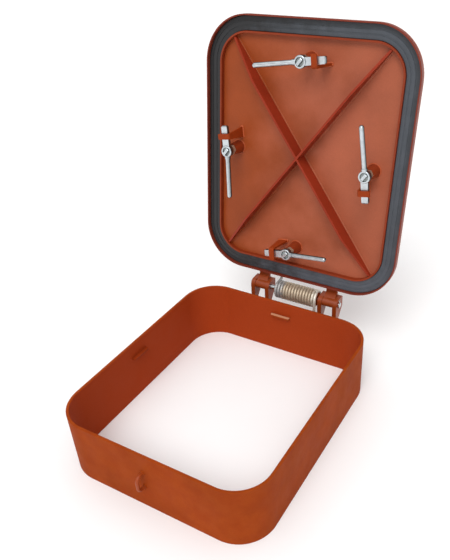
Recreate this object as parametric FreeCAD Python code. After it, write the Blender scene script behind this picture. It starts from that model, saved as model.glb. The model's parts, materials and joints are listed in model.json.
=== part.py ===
import FreeCAD, Part
import math
import os

# Weathertight deck hatch in millimetres: a flat-bar coaming that is welded to the deck, and a lid
# on a spring hinge, held shut by four hand dogs that swing in under wedges on the coaming.
# +Z is up, +X runs along the hinge pin and +Y points from the opening towards the hinge.
# The origin is the centre of the opening, in the plane of the deck.
# The lid and all that it carries are built shut, then turned open about the hinge pin.

# Coaming
clear_width = 600.0
clear_length = 720.0
coaming_corner = 96.0
coaming_wall = 8.0
coaming_height = 190.0
coaming_edge_round = 1.5

# Lid shell
lid_overhang = 19.0
lid_corner = 135.0
lid_plate = 4.0
lid_bend = 6.0
skirt_depth = 21.0

# Gasket and the bar that retains it
gasket_width = 40.0
gasket_thickness = 10.0
gasket_round = 2.0
gasket_groove_width = 4.0
gasket_groove_depth = 1.2
gasket_side_gap = 0.25
seat_gap = 0.3
retainer_thickness = 5.0
retainer_height = 16.0

# Cross ribs under the lid plate
rib_thickness = 6.0
rib_height = 50.0
rib_end_height = 12.0
rib_taper_length = 140.0
rib_front_angle = 58.5
rib_back_angle = 48.0

# Hinge
hinge_set_back = 69.0
hinge_drop = 2.0
open_angle = 97.8
pin_radius = 8.0
running_gap = 0.05
hinge_set_over = 6.0
lug_inner_face = 89.0
lug_thickness = 14.0
lug_head_radius = 17.0
lug_throat_drop = 42.0
lug_foot_drop = 58.0
lug_foot_height = 89.0
lug_tail = 33.0
lug_tail_drop = 20.0
lug_tail_round = 5.0
barrel_length = 38.0
barrel_side_gap = 0.5
barrel_radius = 15.0
strap_thickness = 8.0
strap_reach = 150.0
strap_end_round = 16.0
stop_above_pin = 20.0
stop_below_pin = 30.0
stop_thickness = 5.0
pin_tail = 6.5
pin_chamfer = 1.0
washer_radius = 11.0
washer_thickness = 2.0
split_pin_radius = 1.25
split_pin_set_in = 2.6
split_pin_leg = 13.0
split_pin_eye = 3.0

# Torsion spring on the hinge pin, and what holds its two legs
spring_mean_radius = 25.8
spring_wire_radius = 4.6
spring_turns = 14.25
spring_start = -54.0
spring_end = 89.0
spring_bend = 12.0
spring_leg_reach = 128.0
spring_leg_drop = 70.0
facets_per_turn = 16
facets_per_bend = 5
facets_of_wire = 8
mandrel_gap = 0.5
mandrel_margin = 3.0
anchor_reach = 57.0
anchor_thickness = 8.0
anchor_drop = 58.0
anchor_width = 30.0
anchor_round = 12.0
leg_hole_gap = 0.5
clip_length = 26.0
clip_thickness = 4.0
clip_foot = 14.0
clip_edge_distance = 42.0

# Dogs: boss, gland nut, spindle, inner lever with tongue, outer lever, and keeper
dog_set_in = 78.5
boss_base_radius = 20.0
boss_top_radius = 16.0
boss_height = 44.0
boss_outer_height = 10.0
boss_flange = 4.0
gland_flats = 27.0
gland_height = 14.0
gland_chamfer = 0.8
spindle_radius = 9.0
lever_lift = 60.5
hub_radius = 17.5
hub_height = 16.5
hub_round = 2.0
hub_recess_radius = 12.5
hub_recess_depth = 5.0
tang_thickness = 8.0
tang_length = 22.0
tang_proud = 4.0
rod_radius = 7.0
rod_reach = 142.0
rod_lift_angle = 6.5
collar_radius = 8.5
collar_end = 24.0
tongue_reach = 75.5
tongue_width = 22.0
tongue_tip_width = 19.0
tongue_thickness = 12.0
tongue_bevel = 3.0
tongue_set_down = 2.0
stow_tilt = 8.0
outer_hub_radius = 17.0
outer_hub_height = 18.0
outer_lever_gap = 0.5
rivet_head = 2.0

keeper_start = 37.0
keeper_width = 16.0
keeper_foot_width = 32.0
keeper_thickness = 6.0
keeper_span = 38.0
keeper_bend = 8.0
keeper_gap = 3.0
keeper_leg_gap = 3.0

# Wedges that the tongues draw under
wedge_length = 66.0
wedge_reach = 12.0
wedge_thickness = 6.0
wedge_lead = 3.0
wedge_lead_length = 18.0
tongue_to_wedge = 0.5

# Staple eye on the front of the coaming, and the grab handle outside the lid
staple_wire_radius = 4.5
staple_height = 48.0
staple_reach = 24.0
staple_bend = 14.0
staple_centre_height = 104.0
staple_set_over = -9.0
grab_wire_radius = 7.0
grab_length = 170.0
grab_reach = 45.0
grab_bend = 18.0
grab_set_in = 42.0

# Sizes that follow from the ones above
coaming_width = clear_width + 2 * coaming_wall
coaming_length = clear_length + 2 * coaming_wall
lid_width = coaming_width + 2 * lid_overhang
lid_length = coaming_length + 2 * lid_overhang
plate_inside = coaming_height + seat_gap + gasket_thickness
plate_outside = plate_inside + lid_plate
retainer_inset = lid_plate + gasket_width + 2 * gasket_side_gap
wall_back = coaming_length / 2
hinge_y = wall_back + hinge_set_back
hinge_z = coaming_height - hinge_drop
lug_outer_face = lug_inner_face + lug_thickness + barrel_length
pin_end = lug_outer_face + lug_thickness
right_lug_face = hinge_set_over + lug_inner_face
tongue_base = lever_lift + hub_height - tongue_set_down - tongue_thickness
tongue_top = tongue_base + tongue_thickness
swing = 90.0 - stow_tilt

# Each dog's place on the lid: name, direction from the lid's centre to its wall, distance of
# that wall from the centre, how far the dog is set over along the wall towards its stowed
# tongue, and the angle that its spindle's tang is fitted at.
dog_stations = [
    ("front", FreeCAD.Vector(0, -1, 0), clear_length / 2, 7.0, 45.0),
    ("right", FreeCAD.Vector(1, 0, 0), clear_width / 2, -2.0, -45.0),
    ("back", FreeCAD.Vector(0, 1, 0), clear_length / 2, 5.0, 45.0),
    ("left", FreeCAD.Vector(-1, 0, 0), clear_width / 2, 7.0, -45.0),
]

X_AXIS = FreeCAD.Vector(1, 0, 0)
Y_AXIS = FreeCAD.Vector(0, 1, 0)
Z_AXIS = FreeCAD.Vector(0, 0, 1)
HINGE_AXIS_POINT = FreeCAD.Vector(0, hinge_y, hinge_z)

# Two coordinates that differ by less than this are the same one.
same = 1e-6


def point(x, y, z):
    return FreeCAD.Vector(x, y, z)


def export(name, shape):
    shape.exportStep("parts/" + name + ".step")


def cylinder(radius, length, base, direction):
    return Part.makeCylinder(radius, length, base, direction)


def box(low, high):
    size = high - low
    return Part.makeBox(size.x, size.y, size.z, low)


def prism(outline, direction):
    """A solid from a closed list of points and its extrusion vector."""
    return Part.Face(Part.makePolygon(outline + [outline[0]])).extrude(direction)


def rounded_rectangle(width, length, radius, z):
    """Wire of a rectangle with round corners, centred on the origin at height z."""
    half_x = width / 2
    half_y = length / 2
    slant = radius * (1 - math.sqrt(0.5))
    edges = []
    for turn in range(4):
        long_x = half_x if turn % 2 == 0 else half_y
        long_y = half_y if turn % 2 == 0 else half_x
        spin = FreeCAD.Rotation(Z_AXIS, 90.0 * turn)
        side_start = spin.multVec(point(long_x, -long_y + radius, z))
        arc_start = spin.multVec(point(long_x, long_y - radius, z))
        arc_middle = spin.multVec(point(long_x - slant, long_y - slant, z))
        arc_end = spin.multVec(point(long_x - radius, long_y, z))
        edges.append(Part.LineSegment(side_start, arc_start).toShape())
        edges.append(Part.Arc(arc_start, arc_middle, arc_end).toShape())
    return Part.Wire(edges)


def rounded_block(width, length, radius, low, high):
    face = Part.Face(rounded_rectangle(width, length, radius, low))
    return face.extrude(point(0, 0, high - low))


def frame_of(inset, thickness, low, high):
    """A closed bar that follows the lid's outline, at a distance inside its edge."""
    inner = inset + thickness
    outside = rounded_block(lid_width - 2 * inset, lid_length - 2 * inset, lid_corner - inset, low, high)
    inside = rounded_block(lid_width - 2 * inner, lid_length - 2 * inner, lid_corner - inner, low, high)
    return outside.cut(inside)


def edges_at_height(shape, z):
    return [edge for edge in shape.Edges if all(abs(v.Z - z) < same for v in edge.Vertexes)]


def opened(shape):
    """The lid's swing from shut to open, about the hinge pin."""
    turned = shape.copy()
    turned.rotate(HINGE_AXIS_POINT, X_AXIS, -open_angle)
    return turned


# ---------------------------------------------------------------- coaming


def coaming():
    outside = rounded_block(coaming_width, coaming_length, coaming_corner + coaming_wall, 0, coaming_height)
    inside = rounded_block(clear_width, clear_length, coaming_corner, 0, coaming_height)
    ring = outside.cut(inside)
    return ring.makeFillet(coaming_edge_round, edges_at_height(ring, coaming_height))


def wedge(outward, wall_distance, set_over):
    """Flat wedge on the coaming's inside, with a lead where the tongue comes in."""
    low = plate_inside - tongue_base + tongue_to_wedge
    top = low + wedge_thickness
    half = wedge_length / 2
    lead_x = half - wedge_lead_length
    outline = [
        point(-half, 0, top),
        point(-half, 0, low + wedge_lead),
        point(-lead_x, 0, low),
        point(half, 0, low),
        point(half, 0, top),
    ]
    bar = prism(outline, point(0, -wedge_reach, 0))
    bar = bar.makeChamfer(wedge_lead, [e for e in bar.Edges if is_free_corner(e)])
    bar.translate(point(-set_over, wall_distance, 0))
    bar.rotate(point(0, 0, 0), Z_AXIS, math.degrees(math.atan2(outward.y, outward.x)) - 90.0)
    return bar


def is_free_corner(edge):
    """True for the two upright edges at the wedge's free side."""
    upright = abs(edge.Vertexes[0].X - edge.Vertexes[-1].X) < same
    free = all(abs(v.Y + wedge_reach) < same for v in edge.Vertexes)
    return upright and free


def bent_bar(points, bend, radius):
    """Round bar along a run of points, with the same bend at each inner one."""
    edges = []
    start = points[0]
    for before, corner, after in zip(points, points[1:], points[2:]):
        back = (before - corner).normalize()
        ahead = (after - corner).normalize()
        half_turn = back.getAngle(ahead) / 2
        setback = bend / math.tan(half_turn)
        middle = corner + (back + ahead).normalize() * (bend / math.sin(half_turn) - bend)
        edges.append(Part.LineSegment(start, corner + back * setback).toShape())
        edges.append(Part.Arc(corner + back * setback, middle, corner + ahead * setback).toShape())
        start = corner + ahead * setback
    edges.append(Part.LineSegment(start, points[-1]).toShape())
    path = Part.Wire(edges)
    section = Part.Wire(Part.makeCircle(radius, points[0], points[1] - points[0]))
    return path.makePipeShell([section], True, False)


def staple_eye():
    wall = -wall_back
    low = staple_centre_height - staple_height / 2
    high = staple_centre_height + staple_height / 2
    corners = [
        point(staple_set_over, wall, low),
        point(staple_set_over, wall - staple_reach, low),
        point(staple_set_over, wall - staple_reach, high),
        point(staple_set_over, wall, high),
    ]
    return bent_bar(corners, staple_bend, staple_wire_radius)


# ---------------------------------------------------------------- lid


def lid_shell():
    """Pressed plate with a skirt all round, bored for the four spindle bosses."""
    low = plate_inside - skirt_depth
    outside = rounded_block(lid_width, lid_length, lid_corner, low, plate_outside)
    outside = outside.makeFillet(lid_bend, edges_at_height(outside, plate_outside))
    inside = rounded_block(
        lid_width - 2 * lid_plate, lid_length - 2 * lid_plate, lid_corner - lid_plate, low, plate_inside
    )
    shell = outside.cut(inside)
    for _, outward, wall_distance, set_over, _ in dog_stations:
        centre = dog_centre(outward, wall_distance, set_over)
        base = point(centre.x, centre.y, plate_inside)
        shell = shell.cut(cylinder(boss_top_radius + running_gap, lid_plate, base, Z_AXIS))
    return shell


def retainer():
    return frame_of(retainer_inset, retainer_thickness, plate_inside - retainer_height, plate_inside)


def gasket():
    face = coaming_height + seat_gap
    strip = frame_of(lid_plate + gasket_side_gap, gasket_width, face, plate_inside)
    strip = strip.makeFillet(gasket_round, edges_at_height(strip, face))
    step = gasket_width / 3
    for line in (1, 2):
        inset = lid_plate + gasket_side_gap + line * step - gasket_groove_width / 2
        strip = strip.cut(frame_of(inset, gasket_groove_width, face, face + gasket_groove_depth))
    return strip


def retainer_corner(angle, side):
    """Place on the retainer's inner face, round one of the lid's corners on the +X side."""
    inner = lid_corner - retainer_inset - retainer_thickness
    along = lid_width / 2 - lid_corner + inner * math.cos(math.radians(angle))
    across = lid_length / 2 - lid_corner + inner * math.sin(math.radians(angle))
    return point(along, side * across, plate_inside)


def rib(front, back):
    """Plate on edge from the retainer's front corner to its back one, tapered at both ends."""
    run = (back - front).normalize()
    side = Z_AXIS.cross(run) * rib_thickness
    end = Z_AXIS * -rib_end_height
    full = Z_AXIS * -rib_height
    front_over = front - run * rib_thickness
    back_over = back + run * rib_thickness
    outline = [
        front_over,
        front_over + end,
        front + end,
        front + run * rib_taper_length + full,
        back - run * rib_taper_length + full,
        back + end,
        back_over + end,
        back_over,
    ]
    plate = prism([corner - side / 2 for corner in outline], side)
    inset = retainer_inset + retainer_thickness + seat_gap
    room_width = lid_width - 2 * inset
    room_length = lid_length - 2 * inset
    lowest = plate_inside - rib_height
    return plate.common(rounded_block(room_width, room_length, lid_corner - inset, lowest, plate_inside))


def ribs():
    """One rib runs through; the other is two halves that butt against it."""
    front_right = retainer_corner(rib_front_angle, -1)
    back_right = retainer_corner(rib_back_angle, 1)
    front_left = point(-front_right.x, front_right.y, front_right.z)
    back_left = point(-back_right.x, back_right.y, back_right.z)
    through = rib(front_left, back_right)
    halves = rib(front_right, back_left).cut(through).Solids
    halves.sort(key=lambda solid: solid.CenterOfMass.y)
    return through, halves[0], halves[1]


def grab_handle():
    y = -lid_length / 2 + grab_set_in
    half = grab_length / 2
    top = plate_outside + grab_reach
    corners = [
        point(-half, y, plate_outside),
        point(-half, y, top),
        point(half, y, top),
        point(half, y, plate_outside),
    ]
    return bent_bar(corners, grab_bend, grab_wire_radius)


# ---------------------------------------------------------------- hinge


def lug(low_x):
    """Cheek plate on the coaming's back, with the pin's hole and a tail for the lid's stop."""
    crown = hinge_z + lug_head_radius
    tail_y = hinge_y + lug_tail
    tail_low = hinge_z - lug_tail_drop
    foot_top = hinge_z - lug_foot_drop
    foot_bottom = foot_top - lug_foot_height
    nose = hinge_y - lug_head_radius
    throat = hinge_z - lug_throat_drop
    slant = lug_head_radius * math.sqrt(0.5)
    outline = [
        Part.LineSegment(point(low_x, wall_back, foot_bottom), point(low_x, wall_back, foot_top)),
        Part.LineSegment(point(low_x, wall_back, foot_top), point(low_x, nose, throat)),
        Part.LineSegment(point(low_x, nose, throat), point(low_x, nose, hinge_z)),
        Part.Arc(
            point(low_x, nose, hinge_z),
            point(low_x, hinge_y - slant, hinge_z + slant),
            point(low_x, hinge_y, crown),
        ),
        Part.LineSegment(point(low_x, hinge_y, crown), point(low_x, tail_y, crown)),
        Part.LineSegment(point(low_x, tail_y, crown), point(low_x, tail_y, tail_low)),
        Part.LineSegment(point(low_x, tail_y, tail_low), point(low_x, wall_back, foot_bottom)),
    ]
    plate = Part.Face(Part.Wire([curve.toShape() for curve in outline])).extrude(point(lug_thickness, 0, 0))
    tail = [e for e in plate.Edges if is_tail_edge(e, tail_y)]
    plate = plate.makeFillet(lug_tail_round, tail)
    hole = cylinder(pin_radius + running_gap, lug_thickness, point(low_x, hinge_y, hinge_z), X_AXIS)
    return plate.cut(hole)


def is_tail_edge(edge, tail_y):
    along_x = abs(edge.Vertexes[0].X - edge.Vertexes[-1].X) > same
    return along_x and all(abs(v.Y - tail_y) < same for v in edge.Vertexes)


def lid_stop(low_x):
    """Plate across a pair of lugs, square to the opened strap and just behind it."""
    seat = plate_outside + strap_thickness + seat_gap
    low = point(low_x, hinge_y - stop_above_pin, seat)
    high = point(low_x + barrel_length, hinge_y + stop_below_pin, seat + stop_thickness)
    return opened(box(low, high))


def hinge_arm(low_x):
    """Flat strap on the lid that ends in a forged eye round the pin."""
    width = barrel_length - 2 * barrel_side_gap
    left = low_x + barrel_side_gap
    top = plate_outside + strap_thickness
    strap_end = hinge_y - hinge_set_back - strap_reach
    shoulder = top - hinge_z
    nose = hinge_y - barrel_radius
    corner = barrel_radius * math.sqrt(0.5)
    neck = nose - barrel_radius
    outline = [
        Part.LineSegment(point(left, strap_end, plate_outside), point(left, neck, plate_outside)),
        Part.LineSegment(point(left, neck, plate_outside), point(left, nose, hinge_z)),
        Part.Arc(
            point(left, nose, hinge_z),
            point(left, hinge_y - corner, hinge_z - corner),
            point(left, hinge_y, hinge_z - barrel_radius),
        ),
        Part.Arc(
            point(left, hinge_y, hinge_z - barrel_radius),
            point(left, hinge_y + corner, hinge_z - corner),
            point(left, hinge_y + barrel_radius, hinge_z),
        ),
        Part.LineSegment(
            point(left, hinge_y + barrel_radius, hinge_z),
            point(left, hinge_y + barrel_radius, hinge_z + shoulder - barrel_radius),
        ),
        Part.Arc(
            point(left, hinge_y + barrel_radius, hinge_z + shoulder - barrel_radius),
            point(left, hinge_y + corner, hinge_z + shoulder - barrel_radius + corner),
            point(left, hinge_y, top),
        ),
        Part.LineSegment(point(left, hinge_y, top), point(left, strap_end, top)),
        Part.LineSegment(point(left, strap_end, top), point(left, strap_end, plate_outside)),
    ]
    arm = Part.Face(Part.Wire([curve.toShape() for curve in outline])).extrude(point(width, 0, 0))
    corners = [e for e in arm.Edges if is_strap_corner(e, strap_end)]
    arm = arm.makeFillet(strap_end_round, corners)
    hole = cylinder(pin_radius + running_gap, width, point(left, hinge_y, hinge_z), X_AXIS)
    return arm.cut(hole)


def is_strap_corner(edge, strap_end):
    upright = abs(edge.Vertexes[0].Z - edge.Vertexes[-1].Z) > same
    return upright and all(abs(v.Y - strap_end) < same for v in edge.Vertexes)


def split_pin_x():
    return hinge_set_over + pin_end + pin_tail - split_pin_set_in


def hinge_pin():
    start = point(hinge_set_over - pin_end, hinge_y, hinge_z)
    pin = cylinder(pin_radius, 2 * pin_end + pin_tail, start, X_AXIS)
    ends = [e for e in pin.Edges if isinstance(e.Curve, Part.Circle)]
    pin = pin.makeChamfer(pin_chamfer, ends)
    base = point(split_pin_x(), hinge_y, hinge_z - 2 * pin_radius)
    return pin.cut(cylinder(split_pin_radius + running_gap, 4 * pin_radius, base, Z_AXIS))


def hinge_washer():
    base = point(hinge_set_over + pin_end + seat_gap, hinge_y, hinge_z)
    disc = cylinder(washer_radius, washer_thickness, base, X_AXIS)
    return disc.cut(cylinder(pin_radius + running_gap, washer_thickness, base, X_AXIS))


def split_pin():
    """Round shank through the hinge pin, with its flat-sided eye on top."""
    x = split_pin_x()
    low = hinge_z - split_pin_leg
    eye_radius = split_pin_eye + split_pin_radius
    eye_height = hinge_z + pin_radius + eye_radius
    shank = cylinder(split_pin_radius, eye_height - split_pin_eye - low, point(x, hinge_y, low), Z_AXIS)
    base = point(x - split_pin_radius / 2, hinge_y, eye_height)
    eye = cylinder(eye_radius, split_pin_radius, base, X_AXIS)
    return shank.fuse(eye).cut(cylinder(split_pin_eye, split_pin_radius, base, X_AXIS))


# ---------------------------------------------------------------- spring


def spring_path():
    """Centre line of the wire: lid leg, coil, then the leg down to the coaming's anchor."""
    tilt = math.radians(open_angle - 90.0)
    up = point(0, math.sin(tilt), math.cos(tilt))
    behind = point(0, math.cos(tilt), -math.sin(tilt))
    leg_offset = plate_outside + seat_gap + spring_wire_radius - hinge_z
    axis = point(spring_start, hinge_y, hinge_z)
    crown = axis + point(0, 0, spring_mean_radius)
    climb = (spring_mean_radius + leg_offset * math.sin(tilt)) / math.cos(tilt)
    corner = axis + behind * leg_offset + up * climb
    tip = axis + behind * leg_offset + up * spring_leg_reach
    path = [tip] + bend_points(tip, corner, crown, spring_bend, facets_per_bend)
    steps = round(spring_turns * facets_per_turn)
    for step in range(steps + 1):
        share = step / steps
        angle = math.pi / 2 + 2 * math.pi * spring_turns * share
        x = spring_start + (spring_end - spring_start) * share
        across = spring_mean_radius * math.cos(angle)
        above = spring_mean_radius * math.sin(angle)
        path.append(point(x, hinge_y + across, hinge_z + above))
    path.append(path[-1] - point(0, 0, spring_leg_drop))
    return path


def bend_points(before, corner, after, radius, count):
    """Points of a round bend between two straight runs."""
    back = (before - corner).normalize()
    ahead = (after - corner).normalize()
    half_turn = back.getAngle(ahead) / 2
    setback = radius / math.tan(half_turn)
    centre = corner + (back + ahead).normalize() * (radius / math.sin(half_turn))
    start = corner + back * setback - centre
    normal = start.cross(corner + ahead * setback - centre).normalize()
    sweep = math.degrees(math.pi - 2 * half_turn)
    points = []
    for step in range(count + 1):
        spin = FreeCAD.Rotation(normal, sweep * step / count)
        points.append(centre + spin.multVec(start))
    return points


def torsion_spring():
    """The wire as flat-sided runs with mitred joints: each section is cut by the next mitre."""
    path = spring_path()
    rings = []
    heading = (path[1] - path[0]).normalize()
    side = heading.cross(X_AXIS).normalize()
    lift = heading.cross(side)
    first = []
    for step in range(facets_of_wire):
        angle = 2 * math.pi * (step + 0.5) / facets_of_wire
        first.append(path[0] + (side * math.cos(angle) + lift * math.sin(angle)) * spring_wire_radius)
    rings.append(first)
    for here, ahead, beyond in zip(path, path[1:], path[2:] + [None]):
        run = (ahead - here).normalize()
        mitre = run if beyond is None else (run + (beyond - ahead).normalize()).normalize()
        ring = []
        for corner in rings[-1]:
            distance = (ahead - corner).dot(mitre) / run.dot(mitre)
            ring.append(corner + run * distance)
        rings.append(ring)
    faces = []
    for near, far in zip(rings, rings[1:]):
        for step in range(facets_of_wire):
            after = (step + 1) % facets_of_wire
            faces.append(flat_face([near[step], near[after], far[after], far[step]]))
    faces.append(flat_face(rings[0]))
    faces.append(flat_face(rings[-1]))
    return Part.makeSolid(Part.makeShell(faces))


def flat_face(corners):
    return Part.Face(Part.makePolygon(corners + [corners[0]]))


def spring_mandrel():
    radius = spring_mean_radius - spring_wire_radius - mandrel_gap
    start = spring_start - spring_wire_radius + mandrel_margin
    length = spring_end - spring_start + 2 * spring_wire_radius - 2 * mandrel_margin
    base = point(start, hinge_y, hinge_z)
    tube = cylinder(radius, length, base, X_AXIS)
    return tube.cut(cylinder(pin_radius + running_gap, length, base, X_AXIS))


def spring_anchor():
    """Plate on the coaming's back with the hole that the spring's lower leg stands in."""
    leg_y = hinge_y - spring_mean_radius
    top = hinge_z - anchor_drop
    right = right_lug_face
    left = right - anchor_width
    low = point(left, wall_back, top - anchor_thickness)
    high = point(right, wall_back + anchor_reach, top)
    plate = box(low, high)
    free = [e for e in plate.Edges if is_anchor_corner(e, left, high.y)]
    plate = plate.makeFillet(anchor_round, free)
    base = point(spring_end, leg_y, top - anchor_thickness)
    return plate.cut(cylinder(spring_wire_radius + leg_hole_gap, anchor_thickness, base, Z_AXIS))


def is_anchor_corner(edge, left, free_y):
    upright = abs(edge.Vertexes[0].Z - edge.Vertexes[-1].Z) > same
    return upright and all(abs(v.X - left) < same and abs(v.Y - free_y) < same for v in edge.Vertexes)


def spring_clip():
    """Saddle on the lid that holds the spring's upper leg down."""
    inner = spring_wire_radius + seat_gap
    outer = inner + clip_thickness
    reach = outer + clip_foot
    centre_z = plate_outside + seat_gap + spring_wire_radius
    foot_top = plate_outside + clip_thickness
    far = lid_length / 2 - clip_edge_distance
    near = far - clip_length
    axis = point(spring_start, near, centre_z)
    arch = cylinder(outer, clip_length, axis, Y_AXIS)
    walls = clip_block(outer, plate_outside, centre_z, near, far)
    feet = clip_block(reach, plate_outside, foot_top, near, far)
    under = clip_block(reach, plate_outside - outer, plate_outside, near, far)
    passage = cylinder(inner, clip_length, axis, Y_AXIS)
    slot = clip_block(inner, plate_outside, centre_z, near, far)
    saddle = arch.fuse(walls).fuse(feet).removeSplitter()
    return saddle.cut(passage).cut(slot).cut(under)


def clip_block(half_width, low, high, near, far):
    """Block along the clip, centred over the spring's leg."""
    return box(point(spring_start - half_width, near, low), point(spring_start + half_width, far, high))


# ---------------------------------------------------------------- dogs
# A dog is built with its spindle along +Z, the lid plate's inner face at z = 0, and its tongue
# pointing along +X, as it does when it holds the lid shut.


def dog_boss():
    """Turned boss through the plate, bored for the spindle."""
    outer_end = lid_plate + boss_outer_height
    profile = [
        point(spindle_radius + running_gap, 0, -outer_end),
        point(boss_top_radius, 0, -outer_end),
        point(boss_top_radius, 0, 0),
        point(boss_base_radius, 0, 0),
        point(boss_base_radius, 0, boss_flange),
        point(boss_top_radius, 0, boss_height),
        point(spindle_radius + running_gap, 0, boss_height),
    ]
    face = Part.Face(Part.makePolygon(profile + [profile[0]]))
    return face.revolve(point(0, 0, 0), Z_AXIS, 360)


def gland_nut():
    """Hexagon nut with its far corners turned off, bored for the spindle."""
    corner_radius = gland_flats / math.sqrt(3)
    outline = []
    for step in range(6):
        angle = math.radians(60 * step)
        outline.append(point(corner_radius * math.cos(angle), corner_radius * math.sin(angle), boss_height))
    base = point(0, 0, boss_height)
    far_radius = corner_radius - gland_chamfer
    cone = Part.makeCone(far_radius + gland_height, far_radius, gland_height, base, Z_AXIS)
    nut = prism(outline, point(0, 0, gland_height)).common(cone)
    return nut.cut(cylinder(spindle_radius + running_gap, gland_height, base, Z_AXIS))


def spindle(tang_angle):
    """Round shaft from the outer lever to the inner hub, with a flat tang across its end."""
    low = -(lid_plate + boss_outer_height + outer_lever_gap + outer_hub_height)
    seat = lever_lift + hub_height - hub_recess_depth
    shaft = cylinder(spindle_radius, seat - low, point(0, 0, low), Z_AXIS)
    tang_top = hub_recess_depth + tang_proud
    tang = box(
        point(-tang_length / 2, -tang_thickness / 2, seat),
        point(tang_length / 2, tang_thickness / 2, seat + tang_top),
    )
    tang = tang.makeFillet(tang_thickness / 3, [e for e in tang.Edges if is_level_end(e, seat + tang_top)])
    tang.rotate(point(0, 0, 0), Z_AXIS, tang_angle)
    head = cylinder(spindle_radius + rivet_head, rivet_head, point(0, 0, low - rivet_head), Z_AXIS)
    return shaft.fuse(tang).fuse(head)


def is_level_end(edge, z):
    level = all(abs(v.Z - z) < same for v in edge.Vertexes)
    across = abs(edge.Vertexes[0].X - edge.Vertexes[-1].X) < same
    return level and across


def handle_rod(start, z, lift_angle):
    """Round handle away from the tongue, raised by an angle, with a collar and a domed end."""
    raised = math.radians(lift_angle)
    along = point(-math.cos(raised), 0, math.sin(raised))
    root = point(0, 0, z) + along * start
    end = point(0, 0, z) + along * (rod_reach - rod_radius)
    rod = cylinder(rod_radius, (end - root).Length, root, along)
    collar = cylinder(collar_radius, collar_end - start, root, along)
    return rod.fuse(collar).fuse(Part.makeSphere(rod_radius, end))


def inner_lever():
    """Forged hub with the tongue on one side and the handle on the other."""
    hub = cylinder(hub_radius, hub_height, point(0, 0, lever_lift), Z_AXIS)
    hub = hub.makeFillet(hub_round, [e for e in hub.Edges if isinstance(e.Curve, Part.Circle)])
    half = tongue_width / 2
    half_tip = tongue_tip_width / 2
    outline = [
        point(0, -half, tongue_base),
        point(tongue_reach, -half_tip, tongue_base),
        point(tongue_reach, half_tip, tongue_base),
        point(0, half, tongue_base),
    ]
    tongue = prism(outline, point(0, 0, tongue_thickness))
    tip = [e for e in tongue.Edges if all(abs(v.X - tongue_reach) < same for v in e.Vertexes)]
    tongue = tongue.makeChamfer(tongue_bevel, tip)
    rod = handle_rod(hub_recess_radius + 1, lever_lift + hub_height / 2, rod_lift_angle)
    lever = hub.fuse(tongue).fuse(rod)
    top = lever_lift + hub_height
    recess = cylinder(hub_recess_radius, hub_recess_depth, point(0, 0, top - hub_recess_depth), Z_AXIS)
    bore = cylinder(spindle_radius + running_gap, hub_height, point(0, 0, lever_lift), Z_AXIS)
    return lever.cut(recess).cut(bore)


def outer_lever():
    top = -(lid_plate + boss_outer_height + outer_lever_gap)
    low = top - outer_hub_height
    hub = cylinder(outer_hub_radius, outer_hub_height, point(0, 0, low), Z_AXIS)
    hub = hub.makeFillet(hub_round, [e for e in hub.Edges if isinstance(e.Curve, Part.Circle)])
    rod = handle_rod(spindle_radius + 1, (top + low) / 2, 0)
    bore = cylinder(spindle_radius + running_gap, outer_hub_height, point(0, 0, low), Z_AXIS)
    return hub.fuse(rod).cut(bore)


def keeper():
    """Bent bracket that the stowed tongue rests in; open towards the wall so it can swing out."""
    leg_x = -tongue_width / 2 - keeper_leg_gap - keeper_thickness
    under = tongue_top + keeper_gap
    top = under + keeper_thickness
    far = leg_x + keeper_span
    inner_bend = keeper_bend - keeper_thickness
    y_start = -keeper_start
    y_end = -keeper_start - keeper_width
    spare = (keeper_foot_width - keeper_width) / 2
    profile = [
        point(leg_x, y_end - spare, 0),
        point(leg_x, y_end - spare, top),
        point(far, y_end - spare, top),
        point(far, y_end - spare, under),
        point(leg_x + keeper_thickness, y_end - spare, under),
        point(leg_x + keeper_thickness, y_end - spare, 0),
    ]
    bracket = prism(profile, point(0, keeper_foot_width, 0))
    outer_edge = [e for e in bracket.Edges if is_corner_line(e, leg_x, top)]
    bracket = bracket.makeFillet(keeper_bend, outer_edge)
    inner_edge = [e for e in bracket.Edges if is_corner_line(e, leg_x + keeper_thickness, under)]
    bracket = bracket.makeFillet(inner_bend, inner_edge)
    side_view = [
        point(leg_x, y_end - spare, 0),
        point(leg_x, y_end, under),
        point(leg_x, y_end, top),
        point(leg_x, y_start, top),
        point(leg_x, y_start, under),
        point(leg_x, y_start + spare, 0),
    ]
    bracket = bracket.common(prism(side_view, point(keeper_span, 0, 0)))
    bracket.rotate(point(0, 0, 0), Z_AXIS, stow_tilt)
    return bracket


def is_corner_line(edge, x, z):
    return all(abs(v.X - x) < same and abs(v.Z - z) < same for v in edge.Vertexes)


def stowed(shape):
    """The swing of a lever from shut to stowed, about its spindle."""
    turned = shape.copy()
    turned.rotate(point(0, 0, 0), Z_AXIS, -swing)
    return turned


def dog_centre(outward, wall_distance, set_over):
    """Where a spindle passes through the lid: set in from the wall, and over towards its tongue."""
    return outward * (wall_distance - dog_set_in) + Z_AXIS.cross(outward) * set_over


def at_station(shape, outward, wall_distance, set_over):
    """Sets a dog's piece on the lid: its +Z points down from the plate, its +X to the wall."""
    inward = Z_AXIS * -1
    side = inward.cross(outward)
    centre = dog_centre(outward, wall_distance, set_over)
    placement = FreeCAD.Matrix(
        outward.x, side.x, inward.x, centre.x,
        outward.y, side.y, inward.y, centre.y,
        outward.z, side.z, inward.z, plate_inside,
        0, 0, 0, 1,
    )
    placed = shape.copy()
    placed.Placement = FreeCAD.Placement(placement).multiply(placed.Placement)
    return placed


# ---------------------------------------------------------------- all the pieces


def export_coaming():
    export("coaming", coaming())
    export("staple_eye", staple_eye())
    for name, outward, wall_distance, set_over, _ in dog_stations:
        export("wedge_" + name, wedge(outward, wall_distance, set_over))


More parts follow.
